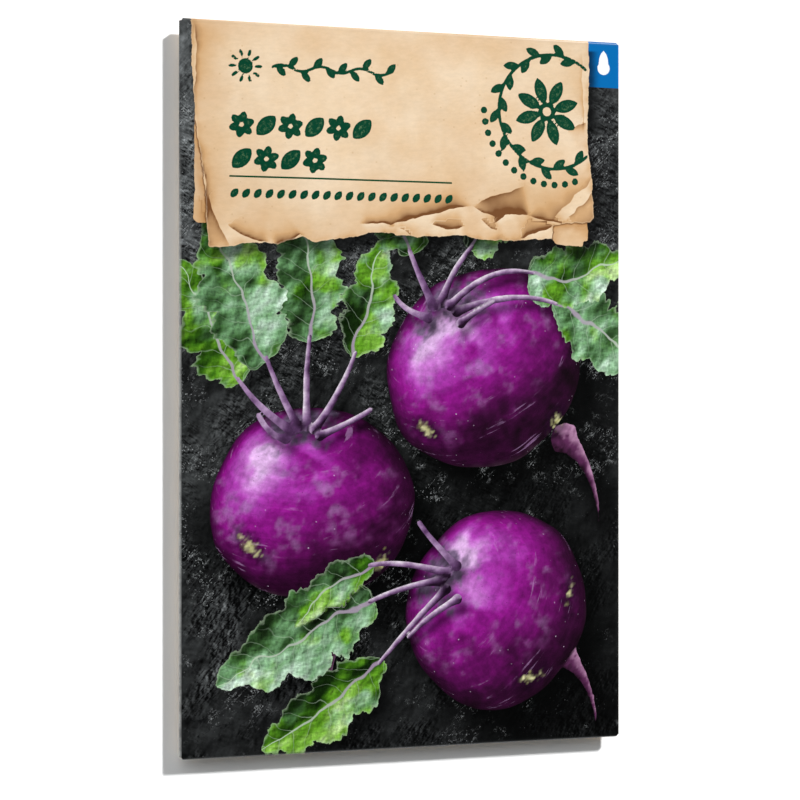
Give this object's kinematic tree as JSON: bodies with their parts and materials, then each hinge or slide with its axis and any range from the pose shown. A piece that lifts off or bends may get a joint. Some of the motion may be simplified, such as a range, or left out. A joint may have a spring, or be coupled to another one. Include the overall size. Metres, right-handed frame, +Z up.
{
  "type": "seed packet",
  "caption": "Flat sealed paper envelope that holds loose vegetable seeds, with a printed picture front and folded flaps glued over its back.",
  "frame": {"origin": "middle of the packet's bounding box, on the surface that it lies on", "axes": "+X to the right across the printed front, +Y from the packet's foot to its top edge, +Z up out of the printed front"},
  "size_m": [0.09, 0.14, 0.0051],
  "materials": {
    "printed_paper": "satin",
    "dry_seeds": "matte"
  },
  "bodies": {
    "root": {"envelope": "printed_paper", "seeds": "dry_seeds"}
  },
  "joints": []
}
